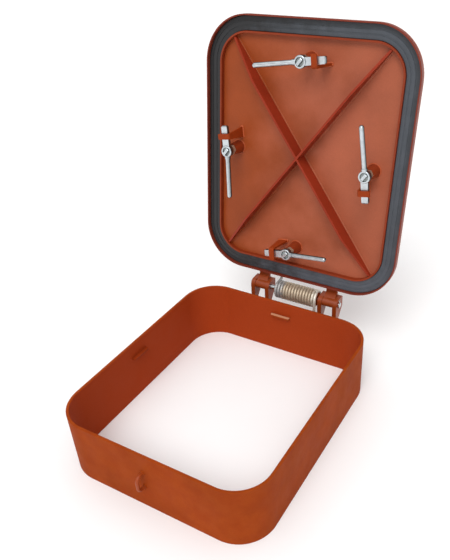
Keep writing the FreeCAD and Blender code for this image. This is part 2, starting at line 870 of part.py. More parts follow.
def export_hinge():
    lug_faces = {
        "lug_left_outer": hinge_set_over - pin_end,
        "lug_left_inner": hinge_set_over - lug_inner_face - lug_thickness,
        "lug_right_inner": right_lug_face,
        "lug_right_outer": hinge_set_over + lug_outer_face,
    }
    for name, low_x in lug_faces.items():
        export(name, lug(low_x))
    barrel_faces = {
        "left": hinge_set_over - lug_outer_face,
        "right": right_lug_face + lug_thickness,
    }
    for side, low_x in barrel_faces.items():
        export("lid_stop_" + side, lid_stop(low_x))
        export("hinge_arm_" + side, opened(hinge_arm(low_x)))
    export("hinge_pin", hinge_pin())
    export("hinge_washer", hinge_washer())
    export("split_pin", split_pin())
    export("torsion_spring", torsion_spring())
    export("spring_mandrel", spring_mandrel())
    export("spring_anchor", spring_anchor())
    export("spring_clip", opened(spring_clip()))


def export_lid():
    export("lid_shell", opened(lid_shell()))
    export("gasket_retainer", opened(retainer()))
    export("gasket", opened(gasket()))
    through, half_front, half_back = ribs()
    export("rib_through", opened(through))
    export("rib_half_front", opened(half_front))
    export("rib_half_back", opened(half_back))
    export("grab_handle", opened(grab_handle()))


def export_dogs():
    for name, outward, wall_distance, set_over, tang_angle in dog_stations:
        pieces = {
            "boss_": dog_boss(),
            "gland_nut_": gland_nut(),
            "keeper_": keeper(),
            "spindle_": stowed(spindle(tang_angle)),
            "lever_": stowed(inner_lever()),
            "outer_lever_": stowed(outer_lever()),
        }
        for prefix, piece in pieces.items():
            export(prefix + name, opened(at_station(piece, outward, wall_distance, set_over)))


os.makedirs("parts", exist_ok=True)
export_coaming()
export_hinge()
export_lid()
export_dogs()
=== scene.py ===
import json
import math

import bpy
from mathutils import Matrix, Vector


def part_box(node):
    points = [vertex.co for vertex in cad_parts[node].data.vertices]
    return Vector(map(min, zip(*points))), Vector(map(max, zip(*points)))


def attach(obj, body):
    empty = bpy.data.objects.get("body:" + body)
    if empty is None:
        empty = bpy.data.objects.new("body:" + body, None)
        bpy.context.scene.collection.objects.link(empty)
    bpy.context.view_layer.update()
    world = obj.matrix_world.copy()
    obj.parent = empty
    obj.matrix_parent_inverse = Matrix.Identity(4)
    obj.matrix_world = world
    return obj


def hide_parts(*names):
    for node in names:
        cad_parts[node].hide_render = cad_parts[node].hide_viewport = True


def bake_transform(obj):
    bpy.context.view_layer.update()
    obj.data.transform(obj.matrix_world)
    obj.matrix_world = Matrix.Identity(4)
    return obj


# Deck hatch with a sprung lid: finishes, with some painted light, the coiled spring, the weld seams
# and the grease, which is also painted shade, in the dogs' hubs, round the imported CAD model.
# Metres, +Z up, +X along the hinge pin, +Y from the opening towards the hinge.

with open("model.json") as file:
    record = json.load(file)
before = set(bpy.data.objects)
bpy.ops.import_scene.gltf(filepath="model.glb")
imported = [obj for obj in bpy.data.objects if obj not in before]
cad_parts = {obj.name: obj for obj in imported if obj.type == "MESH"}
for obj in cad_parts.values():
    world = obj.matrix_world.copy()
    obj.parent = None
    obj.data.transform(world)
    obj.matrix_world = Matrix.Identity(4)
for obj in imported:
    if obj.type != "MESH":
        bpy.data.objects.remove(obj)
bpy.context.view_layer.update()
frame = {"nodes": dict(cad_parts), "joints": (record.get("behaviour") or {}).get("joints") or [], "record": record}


# ---------------------------------------------------------------- places taken from the frame


def joint_named(name):
    return next(joint for joint in frame["joints"] if joint["name"] == name)


HINGE_POINT = Vector(joint_named("lid_hinge")["pos_m"])
OPEN_ANGLE = math.radians(joint_named("lid_hinge")["range_deg"][1])

# From the shut hatch to the drawn one, whose lid stands open, and back.
LID_OPENING = (
    Matrix.Translation(HINGE_POINT)
    @ Matrix.Rotation(-OPEN_ANGLE, 4, "X")
    @ Matrix.Translation(-HINGE_POINT)
)
LID_CLOSING = LID_OPENING.inverted()

# On the drawn lid, the point that lies at the origin when it is shut, and the way to its hinge.
LID_MIDDLE = LID_OPENING @ Vector((0, 0, 0))
TOWARDS_HINGE = LID_OPENING.to_3x3() @ Vector((0, 1, 0))

# Each dog turns about a point on the inner face of the lid's plate, on an axis square to it.
PLATE_POINT = Vector(joint_named("dog_front_swing")["pos_m"])
PLATE_INWARD = Vector(joint_named("dog_front_swing")["axis"])

# The four dogs, with the direction from the coaming's wall to the opening at each.
STATIONS = {
    "front": Vector((0, 1, 0)),
    "right": Vector((-1, 0, 0)),
    "back": Vector((0, -1, 0)),
    "left": Vector((1, 0, 0)),
}


# ---------------------------------------------------------------- node helpers

# Nearly all of a noise lies between these two values.
NOISE_SPAN = (0.3, 0.7)

# A Mix node's sockets for colours: its factor and two colours, and its result.
MIX_INPUTS = (0, 6, 7)
MIX_OUTPUT = 2


def shade(colour, factor):
    return tuple(min(1.0, channel * factor) for channel in colour)


def grey(level):
    return (level, level, level)


def set_stops(ramp, stops):
    """Give a colour ramp its stops, each a position and a colour."""
    while len(ramp.elements) < len(stops):
        ramp.elements.new(0.5)
    for element, (position, colour) in zip(ramp.elements, stops):
        element.position = position
        element.color = (*colour, 1.0)


class Nodes:
    """A material's node tree, with short calls for the nodes used here."""

    def __init__(self, name):
        self.material = bpy.data.materials.new(name)
        self.material.use_nodes = True
        self.tree = self.material.node_tree
        self.shader = self.tree.nodes["Principled BSDF"]
        coordinates = self.tree.nodes.new("ShaderNodeTexCoord")
        self.place = coordinates.outputs["Object"]
        self.facing = coordinates.outputs["Normal"]

    def link(self, source, target):
        self.tree.links.new(source, target)

    def feed(self, socket, value):
        """Set a socket to a number or a colour, or link another node's output to it."""
        if isinstance(value, (int, float)):
            socket.default_value = value
        elif isinstance(value, tuple):
            socket.default_value = (*value, 1.0)
        else:
            self.link(value, socket)

    def calc(self, operation, *values):
        """One step of arithmetic on numbers or other nodes' values."""
        node = self.tree.nodes.new("ShaderNodeMath")
        node.operation = operation
        for socket, value in zip(node.inputs, values):
            self.feed(socket, value)
        return node.outputs["Value"]

    def add(self, first, second):
        return self.calc("ADD", first, second)

    def along(self, axis, vector):
        """The part of a vector along X, Y or Z."""
        split = self.tree.nodes.new("ShaderNodeSeparateXYZ")
        self.link(vector, split.inputs["Vector"])
        return split.outputs[axis]

    def dot(self, vector, other):
        """The dot product of a node's vector with another's or with a fixed direction."""
        node = self.tree.nodes.new("ShaderNodeVectorMath")
        node.operation = "DOT_PRODUCT"
        self.link(vector, node.inputs[0])
        if isinstance(other, Vector):
            node.inputs[1].default_value = other
        else:
            self.link(other, node.inputs[1])
        return node.outputs["Value"]

    def across(self):
        """The surface point's own X, in metres: below 0 on the left and above 0 on the right."""
        return self.along("X", self.place)

    def height(self, place, direction):
        """How far the surface point lies from a place, along a direction."""
        return self.calc("SUBTRACT", self.dot(self.place, direction), place.dot(direction))

    def height_along_facing(self):
        """How far the surface lies from the origin along its own normal, below 0 where it looks in."""
        return self.dot(self.place, self.facing)

    def turned_to(self, direction):
        """How squarely the surface faces along a direction or against it, from 0 to 1."""
        return self.calc("ABSOLUTE", self.dot(self.facing, direction))

    def along_lid(self):
        """How far the surface point lies from the lid's middle towards its hinge."""
        return self.height(LID_MIDDLE, TOWARDS_HINGE)

    def set_in(self, half_width, half_length, corner):
        """How far the point lies inside a rounded rectangle on the lid, up to its corner radius."""
        squares = []
        for span, half in ((self.across(), half_width), (self.along_lid(), half_length)):
            past_straight = self.calc("SUBTRACT", self.calc("ABSOLUTE", span), half - corner)
            past = self.calc("MAXIMUM", past_straight, 0.0)
            squares.append(self.calc("MULTIPLY", past, past))
        return self.calc("SUBTRACT", corner, self.calc("SQRT", self.add(*squares)))

    def noise(self, scale, detail=4.0, roughness=0.55):
        node = self.tree.nodes.new("ShaderNodeTexNoise")
        node.inputs["Scale"].default_value = scale
        node.inputs["Detail"].default_value = detail
        node.inputs["Roughness"].default_value = roughness
        self.link(self.place, node.inputs["Vector"])
        return node.outputs["Fac"]

    def spread(self, value, span, low, high):
        """Low where a value is at the start of a span or before it, high at its end or beyond."""
        node = self.tree.nodes.new("ShaderNodeMapRange")
        self.link(value, node.inputs["Value"])
        node.inputs["From Min"].default_value = span[0]
        node.inputs["From Max"].default_value = span[1]
        node.inputs["To Min"].default_value = low
        node.inputs["To Max"].default_value = high
        return node.outputs["Result"]

    def fade_in(self, value, span):
        return self.spread(value, span, 0.0, 1.0)

    def fade_out(self, value, span):
        return self.spread(value, span, 1.0, 0.0)

    def vary(self, noise, low, high):
        """A noise made to wander between two values."""
        return self.spread(noise, NOISE_SPAN, low, high)

    def ramp(self, value, stops):
        node = self.tree.nodes.new("ShaderNodeValToRGB")
        set_stops(node.color_ramp, stops)
        self.link(value, node.inputs["Fac"])
        return node.outputs["Color"]

    def mix(self, share, first, second, mode="MIX"):
        node = self.tree.nodes.new("ShaderNodeMix")
        node.data_type = "RGBA"
        node.blend_type = mode
        for index, value in zip(MIX_INPUTS, (share, first, second)):
            self.feed(node.inputs[index], value)
        return node.outputs[MIX_OUTPUT]

    def tinted(self, base, tint, share=1.0):
        """A colour multiplied by another, wholly or by a share."""
        return self.mix(share, base, tint, "MULTIPLY")

    def bump(self, height, strength, distance, under=None):
        node = self.tree.nodes.new("ShaderNodeBump")
        node.inputs["Strength"].default_value = strength
        node.inputs["Distance"].default_value = distance
        self.link(height, node.inputs["Height"])
        if under is not None:
            self.link(under, node.inputs["Normal"])
        return node.outputs["Normal"]

    def dress(self, colour, roughness, normal, metallic=0.0, gloss=0.5):
        """The material, once its shader has all that it is given."""
        self.feed(self.shader.inputs["Base Color"], colour)
        self.feed(self.shader.inputs["Roughness"], roughness)
        self.feed(self.shader.inputs["Normal"], normal)
        self.shader.inputs["Metallic"].default_value = metallic
        self.shader.inputs["Specular IOR Level"].default_value = gloss
        return self.material


# ---------------------------------------------------------------- finishes

# The coaming's primer outside, its inner colour, which is primer with painted bounce light, and its gloss.
PRIMER = (0.315, 0.050, 0.0065)
INNER_BOUNCE_PRIMER = (0.368, 0.048, 0.0092)
PRIMER_GLOSS = 0.04

# Over these spans one colour gives way to another. A painted sheen, cooler and brighter, comes
# over the lid's paint from the left to the right of the hatch, and its skirt's darker colour starts
# just past the plate's inner face. The coaming's painted bounce light, redder and brighter, is on
# the faces that look in, which lie below 0 along their own normal.
LID_SHEEN_SPAN = (-0.17, 0.10)
SKIRT_SPAN = (0.004, 0.010)
BOUNCE_INSIDE_SPAN = (-0.12, -0.04)

# A painted sheen, paler and bluer, comes over the gasket from left to right. A band of painted
# shade along its outer edge, by the skirt, ends this far in, and fades along the lid towards the
# hinge, where the gasket is palest.
GASKET_SHEEN_SPAN = (-0.18, 0.06)
SKIRT_SHADE_SPAN = (0.010, 0.018)
SKIRT_SHADE_FADE_SPAN = (-0.10, 0.30)
PALE_END_SPAN = (0.26, 0.36)
SKIRT_SHADE_TINT = grey(0.58)
PALE_END_TINT = grey(1.4)

# Outer corner radius of the gasket.
GASKET_CORNER = 0.1308

# The spring's wire changes colour at the left end of its coil and again at the right end.
LEFT_WIRE_SPAN = (-0.034, -0.020)
RIGHT_WIRE_SPAN = (0.074, 0.084)

# How squarely a lever's face is turned to the lid's plate as its painted shade gives way to bright
# steel, and how far up the wedge's face looks as its paint gives way to the pale undercoat and
# painted highlight.
LEVER_SHADE_SPAN = (0.35, 1.0)
RUBBED_LIT_SPAN = (0.35, 0.75)


def paint(name, colour, gloss, dullness=0.44, sheen_tint=None, skirt=None, bounce_inside=None, mottled=False):
    """Red-oxide primer sprayed on steel: nearly even, faintly cloudy, satin, with orange peel.

    A painted sheen, a cooler and brighter tint where given, takes over from the left to the right
    of the hatch. The lid's skirt can have a darker colour of its own, and the faces that look in
    towards the opening a painted bounce light, redder and brighter.
    """
    nodes = Nodes(name)
    cloud = nodes.noise(scale=7.0, detail=3.0)
    base = nodes.ramp(cloud, [(0.32, shade(colour, 0.90)), (0.5, colour), (0.7, shade(colour, 1.10))])
    if mottled:
        blotches = nodes.noise(scale=24.0, detail=5.0, roughness=0.6)
        mottle = nodes.ramp(blotches, [(0.36, (0.95, 0.90, 0.90)), (0.6, (1.03, 1.07, 1.07))])
        base = nodes.tinted(base, mottle)
    # Painted sheen: the tint brightens and cools the paint towards the right.
    if sheen_tint is not None:
        across = nodes.add(nodes.across(), nodes.vary(cloud, -0.1, 0.1))
        base = nodes.tinted(base, sheen_tint, nodes.fade_in(across, LID_SHEEN_SPAN))
    if skirt is not None:
        past_plate = nodes.height(PLATE_POINT, PLATE_INWARD)
        base = nodes.mix(nodes.fade_in(past_plate, SKIRT_SPAN), base, skirt)
    # Painted bounce light, redder and brighter, on the faces that look in.
    if bounce_inside is not None:
        looks_in = nodes.fade_out(nodes.height_along_facing(), BOUNCE_INSIDE_SPAN)
        base = nodes.mix(looks_in, base, bounce_inside)
    speckle = nodes.noise(scale=240.0, detail=6.0, roughness=0.7)
    grain = nodes.ramp(speckle, [(0.35, grey(0.82)), (0.62, grey(1.0))])
    base = nodes.tinted(base, grain, share=0.5)
    sheen_patches = nodes.noise(scale=18.0, detail=5.0, roughness=0.6)
    rough = nodes.vary(sheen_patches, dullness - 0.08, dullness + 0.08)
    ripple = nodes.noise(scale=45.0, detail=3.0, roughness=0.5)
    rolled = nodes.bump(ripple, strength=0.10, distance=0.0015)
    peel = nodes.noise(scale=420.0, detail=2.0, roughness=0.5)
    sprayed = nodes.bump(peel, strength=0.18, distance=0.0003, under=rolled)
    return nodes.dress(base, rough, sprayed, gloss=gloss)


def rubbed_lit_top(name, colour, bare_and_lit, gloss):
    """The same primer, pale on the faces that look up: rubbed through to the undercoat, and painted highlight."""
    nodes = Nodes(name)
    rub = nodes.noise(scale=55.0, detail=6.0, roughness=0.65)
    looks_up = nodes.add(nodes.along("Z", nodes.facing), nodes.vary(rub, -0.2, 0.2))
    # Painted highlight with the wear: the faces that look up turn pale.
    base = nodes.mix(nodes.fade_in(looks_up, RUBBED_LIT_SPAN), colour, bare_and_lit)
    scuffed = nodes.bump(rub, strength=0.25, distance=0.0006)
    return nodes.dress(base, nodes.vary(rub, 0.36, 0.55), scuffed, gloss=gloss)


def rubber(name, colour, sheen_colour):
    """Solid dark rubber with a dry, chalky surface.

    It has a painted sheen to the right and is paler by the hinge, with painted shade along the rest
    of its outer edge, by the skirt.
    """
    nodes = Nodes(name)
    cloud = nodes.noise(scale=26.0, detail=6.0, roughness=0.65)
    across = nodes.add(nodes.across(), nodes.vary(cloud, -0.08, 0.08))
    # Painted sheen: paler and bluer towards the right.
    base = nodes.mix(nodes.fade_in(across, GASKET_SHEEN_SPAN), colour, sheen_colour)
    base = nodes.tinted(base, nodes.ramp(cloud, [(0.3, grey(0.70)), (0.75, grey(1.0))]))
    ring = [LID_CLOSING @ vertex.co for vertex in frame["nodes"]["gasket"].data.vertices]
    half_width = max(point.x for point in ring)
    half_length = max(point.y for point in ring)
    inward = nodes.set_in(half_width, half_length, GASKET_CORNER)
    inward = nodes.add(inward, nodes.vary(cloud, -0.002, 0.002))
    hingeward = nodes.along_lid()
    # Painted shade: a darker band along the outer edge, by the skirt, fading towards the hinge.
    skirt_shade = nodes.fade_out(inward, SKIRT_SHADE_SPAN)
    skirt_shade = nodes.calc("MULTIPLY", skirt_shade, nodes.spread(hingeward, SKIRT_SHADE_FADE_SPAN, 1.0, 0.1))
    base = nodes.tinted(base, SKIRT_SHADE_TINT, skirt_shade)
    base = nodes.tinted(base, PALE_END_TINT, nodes.fade_in(hingeward, PALE_END_SPAN))
    chalky = nodes.bump(nodes.noise(scale=520.0), strength=0.12, distance=0.0003)
    return nodes.dress(base, nodes.vary(cloud, 0.38, 0.54), chalky)


def plated_steel(name, colour, roughness, edge_shade=None):
    """Forged and zinc-plated steel: bright and softly uneven.

    A darker colour, where given, is painted shade on the sides that are square to the lid's plate.
    """
    nodes = Nodes(name)
    cloud = nodes.noise(scale=60.0, detail=5.0, roughness=0.6)
    base = nodes.ramp(cloud, [(0.25, shade(colour, 0.84)), (0.5, colour), (0.75, shade(colour, 1.10))])
    # Painted shade: the sides square to the plate are darkened, so the rods' edges look dark.
    if edge_shade is not None:
        turned = nodes.add(nodes.turned_to(PLATE_INWARD), nodes.vary(cloud, -0.03, 0.03))
        base = nodes.mix(nodes.fade_in(turned, LEVER_SHADE_SPAN), edge_shade, base)
    patches = nodes.noise(scale=70.0, detail=3.0, roughness=0.5)
    rough = nodes.vary(patches, roughness * 0.85, roughness * 1.2)
    forged = nodes.bump(nodes.noise(scale=60.0, detail=2.0), strength=0.05, distance=0.001)
    return nodes.dress(base, rough, forged, metallic=1.0)


def spring_wire(name, left_end, coil, right_end):
    """Passivated spring wire, whose colour changes from its left end to its coil to its right end."""
    nodes = Nodes(name)
    cloud = nodes.noise(scale=80.0, detail=5.0, roughness=0.6)
    across = nodes.add(nodes.across(), nodes.vary(cloud, -0.008, 0.008))
    base = nodes.mix(nodes.fade_in(across, LEFT_WIRE_SPAN), left_end, coil)
    base = nodes.mix(nodes.fade_in(across, RIGHT_WIRE_SPAN), base, right_end)
    base = nodes.tinted(base, nodes.ramp(cloud, [(0.3, grey(0.78)), (0.65, grey(1.0))]))
    drawn = nodes.bump(nodes.noise(scale=900.0, detail=3.0), strength=0.10, distance=0.0002)
    return nodes.dress(base, nodes.vary(cloud, 0.42, 0.58), drawn, metallic=0.55)


def bronze(name, colour):
    """Dull cast bronze of the gland nuts."""
    nodes = Nodes(name)
    cloud = nodes.noise(scale=90.0, detail=5.0, roughness=0.6)
    base = nodes.ramp(cloud, [(0.3, shade(colour, 0.7)), (0.55, colour), (0.8, shade(colour, 1.2))])
    cast = nodes.bump(nodes.noise(scale=600.0, detail=3.0), strength=0.15, distance=0.0003)
    return nodes.dress(base, nodes.vary(cloud, 0.38, 0.55), cast, metallic=0.7)


def shade_grease(name, colour):
    """Grey grease left in the hubs, lumpy and a little shiny, which is also painted shade in their recesses."""
    nodes = Nodes(name)
    cloud = nodes.noise(scale=180.0, detail=4.0, roughness=0.6)
    base = nodes.ramp(cloud, [(0.3, shade(colour, 0.6)), (0.55, colour), (0.8, shade(colour, 1.6))])
    lumpy = nodes.bump(cloud, strength=0.4, distance=0.0008)
    return nodes.dress(base, nodes.vary(cloud, 0.30, 0.50), lumpy)


# The finish of each material slot of the record.
FINISHES = {
    "coaming_paint": paint(
        # The inward faces get painted bounce light.
        "coaming_paint", PRIMER, gloss=PRIMER_GLOSS, dullness=0.60, bounce_inside=INNER_BOUNCE_PRIMER, mottled=True
    ),
    "lid_paint": paint(
        "lid_paint",
        (0.325, 0.061, 0.012),
        gloss=0.25,
        # Painted sheen, brighter and cooler, over the lid's right side.
        sheen_tint=(1.24, 1.72, 4.2),
        skirt=(0.20, 0.030, 0.014),
    ),
    # The gasket's rubber, with a painted sheen towards the right.
    "gasket_rubber": rubber("gasket_rubber", (0.018, 0.018, 0.020), sheen_colour=(0.070, 0.080, 0.096)),
    "zinc_steel": plated_steel("zinc_steel", (0.60, 0.65, 0.67), roughness=0.24),
    "spring_steel": spring_wire(
        "spring_steel",
        left_end=(0.48, 0.47, 0.46),
        coil=(0.60, 0.49, 0.36),
        right_end=(0.85, 0.80, 0.70),
    ),
    "gland_brass": bronze("gland_brass", (0.50, 0.44, 0.33)),
}
# The dogs' weld beads: lighter and glossier than the pieces they join, partly the beads' own colour and partly
# painted highlight.
WELD_PAINT_GLINT = paint("weld_paint_glint", (0.46, 0.085, 0.020), gloss=0.45)
# The back wedge: worn primer with a painted highlight on its top.
RUBBED_LIT_WEDGE = rubbed_lit_top("rubbed_lit_wedge", PRIMER, bare_and_lit=(0.52, 0.25, 0.14), gloss=PRIMER_GLOSS)
# The wedges' paint: the inner colour darkened as painted shade, so their lit top faces don't stand out.
WEDGE_SHADE_PAINT = paint("wedge_shade_paint", shade(INNER_BOUNCE_PRIMER, 0.72), gloss=PRIMER_GLOSS)
FITTING_PAINT = paint("fitting_paint", (0.255, 0.034, 0.007), gloss=0.25)
HINGE_PAINT = paint("hinge_paint", shade(PRIMER, 0.95), gloss=0.45, dullness=0.36)
RIB_PAINT = paint("rib_paint", (0.300, 0.030, 0.009), gloss=0.20)
STAPLE_PAINT = paint("staple_paint", shade(PRIMER, 1.05), gloss=0.32)
KEEPER_PAINT = paint("keeper_paint", (0.300, 0.041, 0.006), gloss=0.12, dullness=0.50)
# The levers' steel, with painted shade along their edges.
LEVER_STEEL = plated_steel("lever_steel", (0.66, 0.71, 0.74), roughness=0.34, edge_shade=(0.15, 0.18, 0.19))
# Grey grease that darkens the hubs' recesses as painted shade.
HUB_SHADE_GREASE = shade_grease("hub_shade_grease", (0.40, 0.44, 0.43))

# The nodes whose finish differs from that of their slot, by how their names start.
OTHER_FINISHES = {
    RUBBED_LIT_WEDGE: ("wedge_back",),
    WEDGE_SHADE_PAINT: ("wedge_front", "wedge_left", "wedge_right"),
    STAPLE_PAINT: ("staple_eye",),
    RIB_PAINT: ("rib_",),
    FITTING_PAINT: ("boss_", "gasket_retainer"),
    KEEPER_PAINT: ("keeper_",),
    HINGE_PAINT: ("hinge_arm_", "lug_", "lid_stop_", "hinge_washer", "spring_clip"),
    LEVER_STEEL: ("lever_", "outer_lever_", "spindle_"),
}


def finish_of(node, slot):
    for finish, starts in OTHER_FINISHES.items():
        if node.startswith(starts):
            return finish
    return FINISHES[slot]


def dress_cad_nodes():
    for row in frame["record"]["subparts"]:
        node = frame["nodes"][row["node"]]
        node.data.materials.clear()
        node.data.materials.append(finish_of(row["node"], row["material_slot"]))


# ---------------------------------------------------------------- pieces


def mesh_piece(name, shells, material):
    """One smooth-shaded object from several closed shells, each a pair of points and faces."""
    points = []
    faces = []
    for shell_points, shell_faces in shells:
        first = len(points)
        points.extend(tuple(point) for point in shell_points)
        faces.extend(tuple(first + index for index in face) for face in shell_faces)
    mesh = bpy.data.meshes.new(name)
    mesh.from_pydata(points, [], faces)
    mesh.update()
    mesh.polygons.foreach_set("use_smooth", [True] * len(mesh.polygons))
    mesh.materials.append(material)
    piece = bpy.data.objects.new(name, mesh)
    bpy.context.scene.collection.objects.link(piece)
    return piece


def tube(path, radii, sides):
    """Points and faces of a round tube along an open path, its section carried without twist."""
    points = []
    faces = []
    heading = (path[1] - path[0]).normalized()
    across = heading.orthogonal().normalized()
    for index, centre in enumerate(path):
        before = path[max(index - 1, 0)]
        after = path[min(index + 1, len(path) - 1)]
        heading = (after - before).normalized()
        across = (across - heading * across.dot(heading)).normalized()
        side = heading.cross(across)
        for step in range(sides):
            angle = 2 * math.pi * step / sides
            points.append(centre + (across * math.cos(angle) + side * math.sin(angle)) * radii[index])
    for index in range(len(path) - 1):
        for step in range(sides):
            here = index * sides + step
            beside = index * sides + (step + 1) % sides
            faces.append((here, beside, beside + sides, here + sides))
    last = (len(path) - 1) * sides
    faces.append(tuple(reversed(range(sides))))
    faces.append(tuple(range(last, last + sides)))
    return points, faces


# ---------------------------------------------------------------- torsion spring

WIRE_RADIUS = 0.0046
WIRE_SIDES = 20

# The coil, to the middle of its wire.
COIL_RADIUS = 0.0258
COIL_TURNS = 14.25
STEPS_PER_TURN = 40

# The upper leg: how far it lies behind the pin and reaches up along the lid, and its bend.
LEG_OFFSET = 0.0212
LEG_REACH = 0.128
LEG_BEND = 0.012
BEND_STEPS = 10

# How far the lower leg goes down.
LEG_DROP = 0.070


def arc_points(before, corner, after, radius, count):
    """Points round a bend between two straight runs."""
    back = (before - corner).normalized()
    ahead = (after - corner).normalized()
    half_turn = back.angle(ahead) / 2
    setback = radius / math.tan(half_turn)
    centre = corner + (back + ahead).normalized() * (radius / math.sin(half_turn))
    start = corner + back * setback - centre
    normal = start.cross(corner + ahead * setback - centre).normalized()
    sweep = math.pi - 2 * half_turn
    return [centre + Matrix.Rotation(sweep * step / count, 3, normal) @ start for step in range(count + 1)]


def on_pin(x):
    """The point of the hinge pin's axis that has a given X."""
    return Vector((x, HINGE_POINT.y, HINGE_POINT.z))


def spring_path(start_x, end_x):
    """The wire's centre line: the leg up the lid, the coil from left to right, and the leg down."""
    tilt = OPEN_ANGLE - math.pi / 2
    up = Vector((0, math.sin(tilt), math.cos(tilt)))
    behind = Vector((0, math.cos(tilt), -math.sin(tilt)))
    axis = on_pin(start_x)
    crown = axis + Vector((0, 0, COIL_RADIUS))
    climb = (COIL_RADIUS + LEG_OFFSET * math.sin(tilt)) / math.cos(tilt)
    corner = axis + behind * LEG_OFFSET + up * climb
    tip = axis + behind * LEG_OFFSET + up * LEG_REACH
    path = [tip, (tip + corner) / 2] + arc_points(tip, corner, crown, LEG_BEND, BEND_STEPS)
    steps = round(COIL_TURNS * STEPS_PER_TURN)
    for step in range(steps + 1):
        share = step / steps
        angle = math.pi / 2 + 2 * math.pi * COIL_TURNS * share
        spoke = Vector((0, math.cos(angle), math.sin(angle)))
        path.append(on_pin(start_x + (end_x - start_x) * share) + spoke * COIL_RADIUS)
    foot = path[-1] - Vector((0, 0, LEG_DROP))
    path.append((path[-1] + foot) / 2)
    path.append(foot)
    return path


def add_spring():
    low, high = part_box("torsion_spring")
    start_x = low.x + WIRE_RADIUS
    end_x = high.x - WIRE_RADIUS
    path = spring_path(start_x, end_x)
    wire = tube(path, [WIRE_RADIUS] * len(path), WIRE_SIDES)
    spring = mesh_piece("spring_coil", [wire], FINISHES["spring_steel"])
    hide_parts("torsion_spring")
    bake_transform(spring)


# ---------------------------------------------------------------- weld beads

# A point of a node belongs to its foot if it lies this near the surface that the foot stands on.
FOOT_DEPTH = 0.0012

# A bead's points are this far apart, and a run of fewer points than these is left out.
BEAD_STEP = 0.0016
FEWEST_POINTS = 4
BEAD_SIDES = 10
CORNER_STEPS = 4

# How far outside the foot's outline a bead's middle runs, as a share of its radius.
BEAD_OFFSET = 0.3

# A bead's radius ripples by this share at each drop of metal, and half as much in longer waves.
BEAD_RIPPLE = 0.12
BEAD_PITCH = 0.0052
BEAD_WAVE = 0.071

# The beads round the hinge arms end this far before the lid's edge.
EDGE_MARGIN = 0.003

INWARD = Vector((0, 0, -1))
OUTWARD = Vector((0, 0, 1))
BACKWARD = Vector((0, 1, 0))


def turn(first, second, third):
    """More than 0 where three flat points turn left."""
    return (second[0] - first[0]) * (third[1] - first[1]) - (second[1] - first[1]) * (third[0] - first[0])


def convex_outline(flat):
    """The convex outline round some flat points, counter-clockwise."""
    ordered = sorted(set((round(x, 6), round(y, 6)) for x, y in flat))

    def half(points):
        chain = []
        for point in points:
            while len(chain) > 1 and turn(chain[-2], chain[-1], point) <= 0:
                chain.pop()
            chain.append(point)
        return chain[:-1]

    return half(ordered) + half(reversed(ordered))


def split_feet(flat, feet):
    """The points of each foot of a piece that stands on one or two, parted half-way along it."""
    if feet == 1:
        return [flat]
    lows = [min(point[axis] for point in flat) for axis in (0, 1)]
    highs = [max(point[axis] for point in flat) for axis in (0, 1)]
    axis = 0 if highs[0] - lows[0] > highs[1] - lows[1] else 1
    middle = (lows[axis] + highs[axis]) / 2
    near = [point for point in flat if point[axis] < middle]
    far = [point for point in flat if point[axis] > middle]
    return [near, far]


def stepped(outline, offset):
    """Evenly spaced points round an outline, a little outside it, with its corners turned in arcs."""
    rounded = []
    count = len(outline)
    for index in range(count):
        here = Vector(outline[index])
        before = (here - Vector(outline[index - 1])).normalized()
        after = (Vector(outline[(index + 1) % count]) - here).normalized()
        first = Vector((before.y, -before.x))
        last = Vector((after.y, -after.x))
        for step in range(CORNER_STEPS + 1):
            rounded.append(here + first.lerp(last, step / CORNER_STEPS).normalized() * offset)
    spaced = []
    left = 0.0
    for index in range(len(rounded)):
        start = rounded[index]
        run = rounded[(index + 1) % len(rounded)] - start
        while left < run.length:
            spaced.append(start + run.normalized() * left)
            left += BEAD_STEP
        left -= run.length
    return spaced


def kept_runs(line, keep):
    """The stretches of a line whose points pass a test, or the whole line where there is no test."""
    if keep is None:
        return [line]
    runs = [[]]
    for point in line:
        if keep(point):
            runs[-1].append(point)
        elif runs[-1]:
            runs.append([])
    return [run for run in runs if len(run) >= FEWEST_POINTS]


def bead(path, radius):
    """A rippled weld bead along a path."""
    radii = []
    for index in range(len(path)):
        run = index * BEAD_STEP
        swell = math.sin(2 * math.pi * run / BEAD_PITCH) + 0.5 * math.sin(2 * math.pi * run / BEAD_WAVE)
        radii.append(radius * (1 + BEAD_RIPPLE * swell))
    return tube(path, radii, BEAD_SIDES)


def shut_points(node, on_lid):
    """A node's vertices as the shut hatch stands."""
    shut = LID_CLOSING if on_lid else Matrix.Identity(4)
    return [shut @ vertex.co for vertex in frame["nodes"][node].data.vertices]


def foot_level(points, away):
    """The level of the surface that some points stand on, which faces the given way."""
    return min(point.dot(away) for point in points)


def welds_round(node, away, radius, on_lid=True, feet=1, keep=None, level=None):
    """Beads where a node meets the surface that it stands on, which faces the given way.

    Where the node goes through the surface, its level along that way is given too, and the beads
    have the outline of the node's end behind it.
    """
    points = shut_points(node, on_lid)
    lowest = foot_level(points, away)
    if level is None:
        level = lowest
    across = away.orthogonal().normalized()
    beside = away.cross(across)
    foot = [point for point in points if abs(point.dot(away) - level) < FOOT_DEPTH]
    if not foot:
        foot = [point for point in points if point.dot(away) < lowest + FOOT_DEPTH]
    flat = [(point.dot(across), point.dot(beside)) for point in foot]
    place = LID_OPENING if on_lid else Matrix.Identity(4)
    shells = []
    for part in split_feet(flat, feet):
        loop = stepped(convex_outline(part), radius * BEAD_OFFSET)
        loop.append(loop[0])
        line = [across * point.x + beside * point.y + away * level for point in loop]
        for run in kept_runs(line, keep):
            shells.append(bead([place @ point for point in run], radius))
    return shells


def weld_group(name, body, shells, finish):
    piece = mesh_piece(name, shells, finish)
    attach(piece, body)


